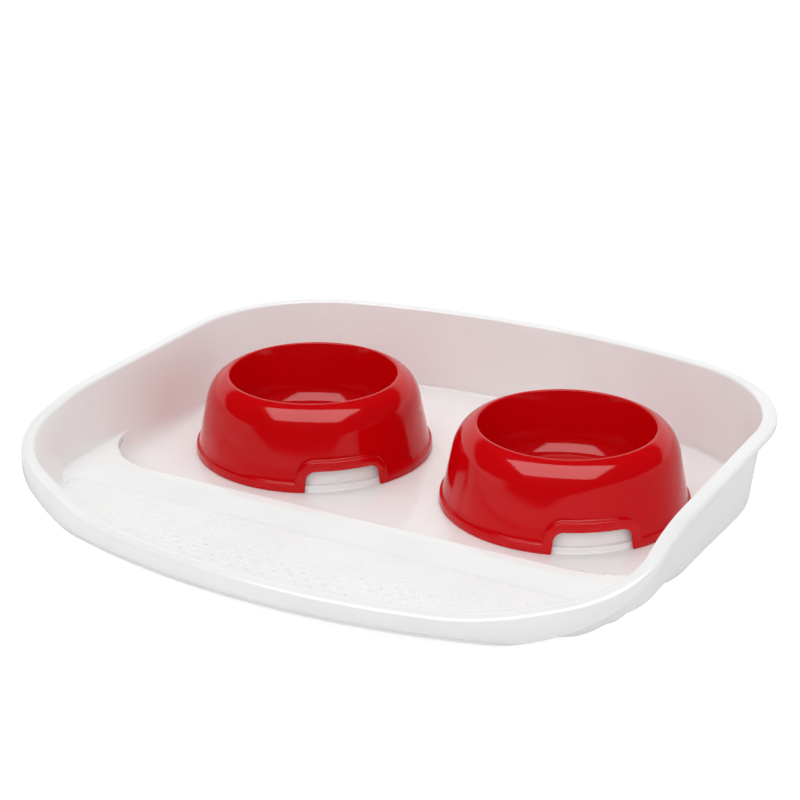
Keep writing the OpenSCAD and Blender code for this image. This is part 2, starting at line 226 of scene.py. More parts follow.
# Matt grey rubber: a fine leathery grain, paler where dust sits in it
def footRubber(v):
    g = plasticGraph("mattGreyRubber")
    grain = g.noise(g.place(), v["grainScale"], 3, 0.6)
    g.feed(g.shader, {
        "Base Color": g.blend(grain.step(*v["dusty"]), v["grey"], v["dust"]),
        "Roughness": v["roughness"] + (grain - 0.5) * v["grainRoughness"],
        "Normal": g.bump(grain, v["grainHeight"], v["bump"])})
    return g.owner


trayMaterial, bowlMaterial = trayPlastic(trayLook), bowlPlastic(bowlLook)
rubberMaterial = footRubber(rubberLook)
print("materials made")


# 0 below 0, 1 above 1, and between them the smooth step 3u^2 - 2u^3
def smooth(u):
    v = np.clip(u, 0, 1)
    return v * v * (3 - 2 * v)


# A ramp from 0 to 1: a parabola from -low to low, a straight line, and a parabola from
# 1 - high to 1 + high
def roundedRamp(u, low, high):
    start = np.clip(u + low, 0, 2 * low) ** 2 / (4 * low)
    end = np.clip(u - 1 + high, 0, 2 * high) ** 2 / (4 * high)
    rise = start + np.maximum(u - low, 0)
    return rise - end - np.maximum(u - 1 - high, 0)


# Points of a rounded corner: the quadratic curve from a to b that a corner c pulls,
# (1-t)^2 a + 2t(1-t) c + t^2 b; a, c and b are points, or arrays of points
def roundedCorner(a, c, b, count):
    a, c, b = (np.asarray(point, float) for point in (a, c, b))
    t = np.linspace(0, 1, count).reshape((-1,) + (1,) * np.ndim(a))
    return (1 - t) ** 2 * a + 2 * t * (1 - t) * c + t ** 2 * b


# Unit vectors from the points a to the points b: their difference over its length
def direction(a, b):
    return (b - a) / np.linalg.norm(b - a, axis=-1, keepdims=True)


# Points of a section from two coordinates, each a number or an array with one for a station
def pairs(across, height):
    return np.stack(np.broadcast_arrays(across, height), axis=-1)


# Quads of a grid whose points run row by row; with around, the last column joins the first
def gridFaces(rows, columns, around=False):
    i, j = np.meshgrid(np.arange(rows - 1), np.arange(columns if around else columns - 1),
                       indexing="ij")
    k = (j + 1) % columns
    quads = np.stack([i * columns + j, i * columns + k, (i + 1) * columns + k,
                      (i + 1) * columns + j], axis=-1)
    return quads.reshape(-1, 4)


# Whether quads face up: the cross products of their diagonals add up to a positive height
def facesUp(points, quads):
    a, b, c, d = (points[quads[:, k]] for k in range(4))
    return np.cross(c - a, d - b)[:, 2].sum() > 0


# One mesh of several sheets of points and quads: points that meet are joined, and points
# that no quad uses are taken out
def meshOf(name, patches, material):
    points, quads, start = [], [], 0
    for p, q in patches:
        points.append(p)
        quads.append(q + start)
        start += len(p)
    mesh = bpy.data.meshes.new(name)
    mesh.from_pydata((np.vstack(points) * mm).tolist(), [], np.vstack(quads).tolist())
    work = bmesh.new()
    work.from_mesh(mesh)
    bmesh.ops.remove_doubles(work, verts=work.verts, dist=weldDistance)
    loose = [v for v in work.verts if not v.link_faces]
    bmesh.ops.delete(work, geom=loose, context="VERTS")
    work.to_mesh(mesh)
    work.free()
    mesh.validate()
    mesh.shade_smooth()
    mesh.materials.append(material)
    obj = bpy.data.objects.new(name, mesh)
    scene.collection.objects.link(obj)
    return obj


# A closed surface of rows from a lower pole, out and up to an upper pole, facing outwards
def closedRows(rows):
    return rows.reshape(-1, 3), gridFaces(*rows.shape[:2], around=True)


# A profile of (radius, height) points turned about a vertical line: the centre plus the
# radius times the cosine and sine of the turn, at the profile's height
def revolved(profile, centre, steps):
    turn = np.linspace(0, 2 * np.pi, steps, endpoint=False)
    r, z = np.array(profile, float).T
    return np.stack([centre[0] + r[:, None] * np.cos(turn), centre[1] + r[:, None] * np.sin(turn),
                     np.repeat(z[:, None], steps, axis=1)], axis=-1)


tray = {"width": 506, "depth": 446, "floor": 6, "wall": 2.5,
        # plan: bowed front and back, straight sides, a corner arc between each two
        "frontRadius": 558, "backRadius": 660, "frontCorner": 62, "backCorner": 125,
        # height of the rim over the floor, and where along the rim it rises
        "sideHeight": 69, "frontHeight": 25, "sweepStart": 130, "sweepEnd": 352,
        # how far the lip hangs below the rim, and where along the rim that changes
        "lipFront": 16.5, "lipSide": 6, "lipStart": 165, "lipEnd": 335,
        # width of the rolled rim, and the wall's lean in degrees, more at the front corners
        "bead": 12, "beadHeight": 4.5, "draft": 6.5, "cornerDraft": 18, "cornerReach": 60,
        # dam, apron and the slope between them; its rounds are shares of its run
        "damHeight": 17, "apronHeight": 12, "slopeEdge": -100.3, "slopeRun": 19.5,
        "slopeRounds": (0.035, 0.13), "slopeCornerX": 195, "slopeCornerY": -132.8,
        "slopeCornerRun": 6.3,
        # basin: its front corners, the round of its foot, its edges, the holes under the seats
        "basinCorner": 60, "basinTurn": -28, "basinX": 234.71, "bendFront": 14, "bendBack": 3.6,
        "bendRun": 120, "edgeCut": 2.2, "landCut": 3.0, "cutShare": 0.45, "holeRadius": 89.7,
        # cross-section of the rim: insets from its outer edge, drops below its height, rounds
        "outerInset": 0.35, "outerDrop": 1.2, "innerDrop": 0.4, "crown": 1.2,
        "bandRound": 4.2, "bandShare": 0.42, "edgeRound": 2.4,
        "lipInset": 0.5, "lipOut": 0.1, "lipRound": 0.5,
        # how many stations each length of the rim has, points across the tray, rows of the land
        "stations": {"front": 27, "frontCorner": 37, "slope": 20, "land": 25, "side": 19,
                     "backCorner": 31, "back": 21, "across": 65, "landRows": 39},
        # closer rows where the slope's edge is round: the first, the end and the step, and how
        # near a row may lie to the ends of its length
        "edgeRows": (-102.5, -98.5, 0.4), "rowGap": 0.05}
stations = tray["stations"]
thirds = (0.33, 0.67)  # shares of the way at which a flat part has a row

# Places of both seats and of the bowls on them: their spacing and how far back they are
seats = {"spacing": 220, "y": 44.5}

frontY, backY = -tray["depth"] / 2, tray["depth"] / 2
halfWidth = tray["width"] / 2
damZ = tray["floor"] + tray["damHeight"]
apronZ = tray["floor"] + tray["apronHeight"]

# Centres of the corner arcs: each touches the straight side and, from inside, the bowed arc
frontReach = tray["frontRadius"] - tray["frontCorner"]
backReach = tray["backRadius"] - tray["backCorner"]
frontCornerX = halfWidth - tray["frontCorner"]
frontCornerY = frontY + tray["frontRadius"] - math.sqrt(frontReach ** 2 - frontCornerX ** 2)
backCornerX = halfWidth - tray["backCorner"]
backCornerY = backY - tray["backRadius"] + math.sqrt(backReach ** 2 - backCornerX ** 2)

# Distances along the rim, from the middle of the front, to where each of its lengths ends
frontTurn = math.asin(frontCornerX / frontReach)
backTurn = math.asin(backCornerX / backReach)
frontRun = tray["frontRadius"] * frontTurn
cornerRun = frontRun + tray["frontCorner"] * (math.pi / 2 - frontTurn)
sideRun = cornerRun + backCornerY - frontCornerY
backCornerRun = sideRun + tray["backCorner"] * (math.pi / 2 - backTurn)
fullRun = backCornerRun + tray["backRadius"] * backTurn


# Place and outward normal on the rim's outer edge, at a distance along it from the middle of
# the front: the centre of that length's arc plus its radius times the cosine and sine of the
# angle. The straight side is an arc of no radius whose centre moves back with the distance.
def outline(run):
    part = [run < frontRun, run < cornerRun, run < sideRun, run < backCornerRun]
    angle = np.select(part, [run / tray["frontRadius"] - np.pi / 2,
                             frontTurn - np.pi / 2 + (run - frontRun) / tray["frontCorner"],
                             0 * run, (run - sideRun) / tray["backCorner"]],
                      np.pi / 2 - backTurn + (run - backCornerRun) / tray["backRadius"])
    radius = np.select(part, [tray["frontRadius"], tray["frontCorner"], 0, tray["backCorner"]],
                       tray["backRadius"])
    arcX = np.select(part, [0, frontCornerX, halfWidth, backCornerX], 0)
    arcY = np.select(part, [frontY + tray["frontRadius"], frontCornerY,
                            frontCornerY + run - cornerRun, backCornerY],
                     backY - tray["backRadius"])
    nx, ny = np.cos(angle), np.sin(angle)
    return arcX + radius * nx, arcY + radius * ny, nx, ny


# Height of the rim: a smooth rise from the front to the sides
def rimHeight(run):
    rise = smooth((run - tray["sweepStart"]) / (tray["sweepEnd"] - tray["sweepStart"]))
    return tray["floor"] + tray["frontHeight"] + (tray["sideHeight"] - tray["frontHeight"]) * rise


# Height of the lip's lower edge: a smooth rise of its own, a little later and shorter
def lipHeight(run):
    low = tray["floor"] + tray["frontHeight"] - tray["lipFront"]
    high = tray["floor"] + tray["sideHeight"] - tray["lipSide"]
    rise = smooth((run - tray["lipStart"]) / (tray["lipEnd"] - tray["lipStart"]))
    return low + (high - low) * rise


# How far the inner wall lies inside the rim's outer edge at a height: the bead's width, and
# the depth below the bead times the tangent of the draft, which grows at the front corners
def insetAt(run, z):
    corner = (frontRun + cornerRun) / 2
    nearCorner = smooth(1 - np.abs(run - corner) / tray["cornerReach"])
    draft = tray["draft"] + tray["cornerDraft"] * nearCorner
    return tray["bead"] + (rimHeight(run) - tray["beadHeight"] - z) * np.tan(np.radians(draft))


# Height of the apron, its slope and the dam's flat top: the dam's height less a rounded ramp
# of the distance in front of the dam's edge over the slope's run. The edge is a straight line
# that turns forward round a corner near each wall, and the run narrows in that corner.
def frontHeightAt(x, y):
    beyond = np.abs(x) - tray["slopeCornerX"]
    behind = y - tray["slopeCornerY"]
    radius = tray["slopeEdge"] - tray["slopeCornerY"]
    around = np.where(behind > 0, radius - np.hypot(beyond, np.maximum(behind, 0)),
                      radius - beyond)
    into = np.where(beyond > 0, around, tray["slopeEdge"] - y)
    least = 0.01  # keeps the turn just under a right angle
    turned = np.where(beyond > 0, np.arctan2(np.maximum(beyond, 0), np.maximum(behind, least)), 0)
    change = tray["slopeCornerRun"] - tray["slopeRun"]
    run = tray["slopeRun"] + change * smooth(turned / (np.pi / 2))
    return damZ - (damZ - apronZ) * roundedRamp(into / run, *tray["slopeRounds"])


# Distance along the rim to where the basin's corner bends off, and the corner's centre
turnRun = cornerRun + tray["basinTurn"] - frontCornerY
centreX = tray["basinX"] - tray["basinCorner"]


# Outer radius of the basin's corner at a height: the side wall's own line, bent round
def basinRadius(z):
    return halfWidth - insetAt(turnRun, z) - centreX


# Stations along the right half of the rim. Beside the slope and the dam's corners they lie
# where the sheets that meet there have their rows.
cornerAngles = np.linspace(np.pi / 2, 0, stations["land"])
landY = tray["basinTurn"] - (basinRadius(damZ) + tray["edgeCut"]) * np.sin(cornerAngles)
slopeY = np.unique(np.round(np.concatenate([
    np.linspace(frontCornerY, landY[0], stations["slope"]), np.arange(*tray["edgeRows"])]), 3))
slopeY = slopeY[(slopeY > frontCornerY + tray["rowGap"]) & (slopeY < landY[0] - tray["rowGap"])]
runs = np.concatenate([
    np.linspace(0, frontRun, stations["front"])[:-1],
    np.linspace(frontRun, cornerRun, stations["frontCorner"]),
    cornerRun + slopeY - frontCornerY, cornerRun + landY - frontCornerY,
    np.linspace(turnRun, sideRun, stations["side"])[1:],
    np.linspace(sideRun, backCornerRun, stations["backCorner"])[1:],
    np.linspace(backCornerRun, fullRun, stations["back"])[1:]])
landStart = int(np.argmin(np.abs(runs - (cornerRun + landY[0] - frontCornerY))))
landEnd = int(np.argmin(np.abs(runs - turnRun)))
edgeX, edgeY, outX, outY = outline(runs)
rimZ, lipZ = rimHeight(runs), lipHeight(runs)

# Height and rounding where the upper wall meets the apron, the land or the basin wall. The
# land is the level strip between the basin's corner and the upper wall. It narrows to nothing.
land = slice(landStart, landEnd + 1)
basinEdgeX = centreX + basinRadius(damZ) * np.cos(cornerAngles)
landWidth = halfWidth - insetAt(runs[land], damZ) - basinEdgeX
footCut = np.full(len(runs), tray["landCut"])
footCut[land] = np.clip(tray["cutShare"] * landWidth, 0, tray["landCut"])
footCut[landEnd:] = 0
topCut = np.clip(tray["cutShare"] * landWidth, 0, tray["edgeCut"])
footZ = np.full(len(runs), float(damZ))
for k in range(3):  # the foot's height depends on its place and its place on its height
    reach = insetAt(runs, footZ) + footCut
    footX, footY = edgeX - reach * outX, edgeY - reach * outY
    footZ[:landEnd] = frontHeightAt(footX, footY)[:landEnd]


# Rows of (inset, height) points up the lip, round its shoulder, over the slightly crowned rim,
# round its inner edge and down the wall to the round at its foot
def upperSection():
    topZ = rimZ - tray["innerDrop"]
    outer = pairs(tray["outerInset"], rimZ - tray["outerDrop"])
    inner = pairs(insetAt(runs, topZ), topZ)
    foot = pairs(insetAt(runs, footZ), footZ)
    cut = np.minimum(tray["bandRound"], tray["bandShare"] * (rimZ - lipZ))[:, None]
    along, down = direction(outer, inner), direction(inner, foot)
    lower = [pairs(tray["lipInset"], lipZ), pairs(tray["lipOut"], lipZ + tray["lipRound"])]
    band = roundedCorner(outer - cut * [[0, 1]], outer, outer + cut * along, 8)
    edge = roundedCorner(inner - tray["edgeRound"] * along, inner,
                         inner + tray["edgeRound"] * down, 7)
    crown = [band[-1] + t * (edge[0] - band[-1]) + [0, tray["crown"] * t * (1 - t)]
             for t in thirds]
    rest = foot - footCut[:, None] * down
    wall = [edge[-1] + t * (rest - edge[-1]) for t in thirds]
    fillet = roundedCorner(rest, foot, foot + footCut[:, None] * [[1, 0]], 6)
    return np.concatenate([np.stack(lower), band, np.stack(crown), edge, np.stack(wall), fillet])


# Rows down a basin wall from the dam's height to the floor, given the wall's inset or radius
# at a height, its direction (1 inset, -1 radius) and the size of its rounded foot
def lowerSection(reachAt, sign, foot):
    top = pairs(reachAt(damZ), np.full(len(foot), damZ))
    corner = pairs(reachAt(tray["floor"]), np.full(len(foot), tray["floor"]))
    start = corner + foot[:, None] * direction(corner, top)
    wall = [top + t * (start - top) for t in (0, 0.35, 0.7)]
    bend = roundedCorner(start, corner, corner + foot[:, None] * [[sign, 0]], 10)
    return np.concatenate([np.stack(wall), bend])


# Points of a section set at stations: the outline's place less the inset along its normal
def sweep(section, x, y, nx, ny):
    return np.stack([x - section[..., 0] * nx, y - section[..., 0] * ny, section[..., 1]], axis=-1)


# The right half's points and then the left half's, x with its sign changed, in reverse order.
# A closed ring starts and ends on the middle line, an open wall only ends there, and the
# stations on that line aren't made twice.
def mirrored(points, closed):
    left = points[:, -2:0:-1] if closed else points[:, -2::-1]
    return np.concatenate([points, left * [-1, 1, 1]], axis=1)


# A sheet of points with its quads, turned to face up if they don't
def patch(points, around=False):
    flat = points.reshape(-1, 3)
    quads = gridFaces(points.shape[0], points.shape[1], around)
    return flat, quads if facesUp(flat, quads) else quads[:, ::-1]


# Straight rows across the tray, one for each end: shares of its half width at its depth
def acrossRows(halfX, y, shares):
    return halfX[:, None] * shares, np.repeat(y[:, None], len(shares), axis=1)


# Side and back walls of the basin: their section along the rim, with a round at the foot that
# shrinks from the front to the back
def sideWalls():
    back = slice(landEnd, len(runs))
    bend = tray["bendFront"] + (tray["bendBack"] - tray["bendFront"]) * smooth(
        (edgeY[back] - tray["basinTurn"]) / tray["bendRun"])
    section = lowerSection(lambda z: insetAt(runs[back], z), 1, bend)
    return sweep(section, edgeX[back], edgeY[back], outX[back], outY[back])


# Front wall of the basin, from its right corner to its left: a rounded top edge and the wall,
# at a radius from a centre that waits in each corner and moves across between them
def frontWall(across):
    middle, corner = len(across) - 2, len(cornerAngles)
    turn = np.concatenate([cornerAngles[::-1], np.full(middle, np.pi / 2), np.pi - cornerAngles])
    movingX = np.concatenate([np.full(corner, centreX), across[1:-1], np.full(corner, -centreX)])
    cut = np.concatenate([topCut[::-1], np.full(middle, tray["edgeCut"]), topCut])
    section = lowerSection(basinRadius, -1, np.full(len(turn), float(tray["bendFront"])))
    top = section[0].copy()
    section[0] = top + cut[:, None] * direction(top, section[1])
    edge = roundedCorner(top + cut[:, None] * [[1, 0]], top, section[0], 6)
    section = np.concatenate([edge[:-1], section])
    return np.stack([movingX + section[..., 0] * np.cos(turn),
                     tray["basinTurn"] - section[..., 0] * np.sin(turn), section[..., 1]], axis=-1)


# Basin floor in rows across, with a round hole under each seat: quads inside a hole go, and
# their points on its border move out to its radius
def basinFloor(ends, shares):
    x, y = acrossRows(ends[:, 0], ends[:, 1], shares)
    points, quads = patch(np.stack([x, y, np.full(x.shape, float(tray["floor"]))], axis=-1))
    for side in (-1, 1):
        off = points[:, :2] - [side * seats["spacing"] / 2, seats["y"]]
        distance = np.linalg.norm(off, axis=1)
        inside = distance < tray["holeRadius"]
        kept = ~inside[quads].all(axis=1)
        used = np.zeros(len(points), bool)
        used[quads[kept]] = True
        snap = inside & used
        points[snap, :2] += off[snap] * (tray["holeRadius"] / distance[snap] - 1)[:, None]
        quads = quads[kept]
    return points, quads


# The tray's upper skin: sheets that meet, all but the apron's and the floor's swept or bent
# along the rim. A Solidify modifier gives it its wall.
def makeTray():
    upper = sweep(upperSection(), edgeX, edgeY, outX, outY)
    lower = sideWalls()
    across = np.linspace(centreX, -centreX, stations["across"])
    dam = frontWall(across)

    # Land beside each corner: straight lines from the dam's edge to the wall's foot
    feet, corner = upper[-1], len(cornerAngles)
    share = np.linspace(0, 1, stations["landRows"])[:, None, None]
    cornerTop = dam[0][:corner][::-1]
    landPoints = cornerTop + share * (feet[land] - cornerTop)

    # Apron, slope and dam's top in one sheet, whose last row meets the land and the dam's edge
    lastX = np.concatenate([landPoints[::-1, 0, 0], across[1:-1], -landPoints[:, 0, 0]])
    front = slice(0, landStart + 1)
    x, y = acrossRows(feet[front, 0], feet[front, 1], lastX / feet[landStart, 0])
    apron = np.stack([x, y, frontHeightAt(x, y)], axis=-1)

    ends = np.concatenate([dam[-1][:corner][::-1], lower[-1][1:]])
    shell = meshOf("trayShell", [
        patch(mirrored(upper, closed=True), around=True), patch(mirrored(lower, closed=False)),
        patch(dam), patch(landPoints), patch(landPoints * [-1, 1, 1]), patch(apron),
        basinFloor(ends, across / centreX)], trayMaterial)
    thick = shell.modifiers.new("thickness", "SOLIDIFY")
    thick.thickness, thick.offset = tray["wall"] * mm, -1
    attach(shell, "tray")
    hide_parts("tray")
    return shell


shell = makeTray()
print("tray shell:", len(shell.data.polygons), "faces")

# Its foot sinks a little into the tray's floor
seat = {"foot": 91, "footFlare": 1.2, "sink": 0.4, "stepHeight": 4.5, "stepRound": 0.7,
        "stepFillet": 0.9, "wallRadius": 88.3, "shoulder": 82, "shoulderZ": 39.2,
        "shoulderStart": 4, "lip": 71, "lipEdge": (0.9, 1), "height": 56, "wall": 2.5,
        "recessZ": 10.5, "recessFloor": 46, "recessTurn": 16, "steps": 144}


# A seat: a hollow cone with a step round its foot, a leaning shoulder, a thin rounded lip and
# a round recess, turned from one closed profile of (radius, height) that runs from the pole
# under the recess, round the wall, to the pole in the recess
def makeSeat(name, side, v):
    wall, flare, sink, top = v["wall"], v["footFlare"], v["sink"], v["height"]
    foot, stepZ, stepRound, fillet = v["foot"], v["stepHeight"], v["stepRound"], v["stepFillet"]
    wallR, shoulder, shoulderZ = v["wallRadius"], v["shoulder"], v["shoulderZ"]
    lip, lipIn, (lipOut, lipDrop) = v["lip"], v["lip"] - wall, v["lipEdge"]
    recessZ, middle = v["recessZ"], v["recessFloor"] * 0.5
    lean = (wallR - shoulder) / (shoulderZ - stepZ)
    half = (top - shoulderZ) / 2
    knee = [shoulder - half * lean, shoulderZ + half]
    angle = np.linspace(-np.pi / 2, 0, 14)
    bend = pairs(np.cos(angle), np.sin(angle))
    bendCentre = np.array([v["recessFloor"], recessZ + v["recessTurn"]])
    profile = np.concatenate([
        [[0, recessZ - wall], [middle, recessZ - wall]],
        bendCentre + (v["recessTurn"] + wall) * bend,  # outside of the recess
        roundedCorner([lipIn + 0.6, top - 6], [lip - 0.6, top - 2.6],
                      [lip + 1.2, top - 4.6], 5),  # under the lip
        roundedCorner([knee[0] - 1.5, knee[1] - wall], [knee[0] - wall, knee[1] - wall * 1.4],
                      [shoulder - wall, shoulderZ], 5),  # inside of the shoulder
        [[wallR - wall, stepZ], [foot - wall, sink - wall],  # inside of the wall, into the floor
         [foot + sink, sink - wall], [foot + flare, -sink]],
        roundedCorner([foot + flare, 0.03], [foot, 0], [foot, flare], 5),  # fillet on the floor
        roundedCorner([foot, stepZ - stepRound], [foot, stepZ],
                      [foot - stepRound, stepZ], 5),  # edge of the step
        roundedCorner([wallR + 0.8, stepZ], [wallR, stepZ],
                      [wallR - fillet * lean, stepZ + fillet], 5),  # fillet on the step
        roundedCorner([shoulder + v["shoulderStart"] * lean, shoulderZ - v["shoulderStart"]], knee,
                      [lip + lipOut, top - lipDrop], 14),  # shoulder, from the wall to the lip
        roundedCorner([lip + lipOut, top - lipDrop], [lip + 0.2, top],
                      [lip - 0.8, top], 5),  # outer edge of the lip
        roundedCorner([lip - 1.4, top], [lipIn + 0.1, top],
                      [lipIn, top - 1.3], 5),  # inner edge of the lip
        (bendCentre + v["recessTurn"] * bend)[::-1],  # inside of the recess
        [[middle, recessZ], [0, recessZ]]])
    profile[:, 1] += tray["floor"]
    centre = (side * seats["spacing"] / 2, seats["y"])
    obj = meshOf(name, [closedRows(revolved(profile, centre, v["steps"]))], trayMaterial)
    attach(obj, "tray")


for name, side in (("leftSeat", -1), ("rightSeat", 1)):
    makeSeat(name, side, seat)
print("seats made")

nubs = {"pitch": 13, "row": 6.5, "rows": 6, "count": 17, "radius": 1.9, "height": 0.8, "y": -162,
        "sink": (0.4, 0.3), "edge": 0.02, "sides": 10}


# Small domes on the apron in staggered rows: each is a short profile turned about its middle,
# from a pole under the apron, up its edge and over to its top
def makeNubs(v):
    rows = [(v["y"] - k * v["row"], v["count"] - k % 2) for k in range(v["rows"])]
    centres = np.array([[(k - (n - 1) / 2) * v["pitch"], y] for y, n in rows for k in range(n)])
    r, z, (poleSink, edgeSink) = v["radius"], v["height"], v["sink"]
    profile = [[0, -poleSink], [r, -edgeSink], [r, v["edge"]], [0.8 * r, 0.5 * z],
               [0.45 * r, 0.86 * z], [0, z]]
    one = revolved(profile, (0, 0), v["sides"])
    obj = meshOf("apronNubs", [closedRows(one + [x, y, apronZ]) for x, y in centres], trayMaterial)
    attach(obj, "tray")


makeNubs(nubs)

pockets = {"inner": 10.2, "wall": 2.2, "low": 2, "high": 3.7, "edge": 0.4, "steps": 48,
           "places": ((-190, 133), (190, 133), (-185, -52), (185, -52))}


# Round pockets under the floor that hold the feet: a small ring section with cut edges, turned
def makePockets(v):
    a, b, e = v["inner"], v["inner"] + v["wall"], v["edge"]
    ring = [[a, v["high"]], [a, v["low"] + e], [a + e, v["low"]], [b - e, v["low"]],
            [b, v["low"] + e], [b, v["high"]], [a, v["high"]]]
    obj = meshOf("footPockets", [closedRows(revolved(ring, place, v["steps"]))
                                 for place in v["places"]], trayMaterial)
    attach(obj, "tray")


makePockets(pockets)
print("nubs and pockets made")

bowl = {"radius": 95, "height": 62.5, "wall": 2.2, "flange": 7, "flangeOut": 2.2,
        "bandLean": 0.085, "skirtIn": 0.3, "skirtStart": 0.7,
        "shoulder": 85.4, "shoulderHeight": 20.5, "shoulderPull": 4, "innerPull": 0.8,
        "rim": 69, "rimRound": 1.0, "rimOut": 0.1, "innerRim": 0.6, "underRim": (1.3, 3.4),
        "basinDepth": 48, "basinFloor": 43, "basinTurn": 16,
        # half the notch's width, its height and round, and the width of the border round it
        "notchHalf": 30, "notchHeight": 17, "notchRound": 8, "border": 7.5,
        # foot of the notch's edge and of the border's: how far its side slants out, the height
        # at which it starts to bend, the bend's pull, and where it is level
        "notchFoot": {"slant": 0.9, "rise": 0.8, "pull": 0.9, "end": 1.7},
        "borderFoot": {"slant": 0.2, "rise": 1.1, "pull": 0.3, "end": 1.6},
        # rows of the border: share of the way from the notch's edge to the border's, a length
        # added to it, and how far the row stands off the band, or off the skirt at its root
        "bandInside": ((1, -0.4, -0.5), (0.5, 0, -0.3), (0, 0.4, -0.1), (0, 0, 0.3)),
        "bandOutside": ((0, 0, -0.7), (0, 0.2, -0.2), (0, 0.7, 0), (0.5, 0, 0), (1, -1.1, 0),
                        (1, -0.5, -0.12), (1, -0.12, -0.5), (1, 0, -1.0)),
        "bandRoot": ((1, 0.05, 0.6), (1, 0.25, 0.2))}


# A quarter of a bowl's lower edge, from the middle of a notch to halfway between the notches,
# as (distance round the base, height): level, a corner arc, a slanting side, a rounded foot,
# and level again. The border's line is the same one with its arc larger by its width.
def notchContour(v):
    startX, centreZ = v["notchHalf"] - v["notchRound"], v["notchHeight"] - v["notchRound"]
    quarter = v["radius"] * np.pi / 2
    angle = np.linspace(np.pi / 2, 0, 13)
    arc = pairs(np.cos(angle), np.sin(angle))
    level, fall, rest = (np.linspace(0, 1, count)[:, None] for count in (9, 6, 26))

    def line(radius, base, foot):
        side = startX + radius
        return np.concatenate([
            [0, centreZ + radius] + level[:-1] * [startX, 0],
            [startX, centreZ] + radius * arc,
            [side, centreZ] + fall[1:-1] * [foot["slant"], base + foot["rise"] - centreZ],
            roundedCorner([side + foot["slant"], base + foot["rise"]], [side + foot["pull"], base],
                          [side + foot["end"], base], 4),
            [side + foot["end"], base] + rest[1:] * [quarter - side - foot["end"], 0]])

    return (line(v["notchRound"], 0, v["notchFoot"]),
            line(v["notchRound"] + v["border"], v["flange"], v["borderFoot"]))


# The whole edge: four copies of the quarter, mirrored in turn, as angle and height
def wholeContour(quarter, radius):
    s, z = quarter[:, 0] / radius, quarter[:, 1]
    angle = np.concatenate([s, (np.pi - s)[-2::-1], (np.pi + s)[1:], (2 * np.pi - s)[-2:0:-1]])
    return angle, np.concatenate([z, z[-2::-1], z[1:], z[-2:0:-1]])


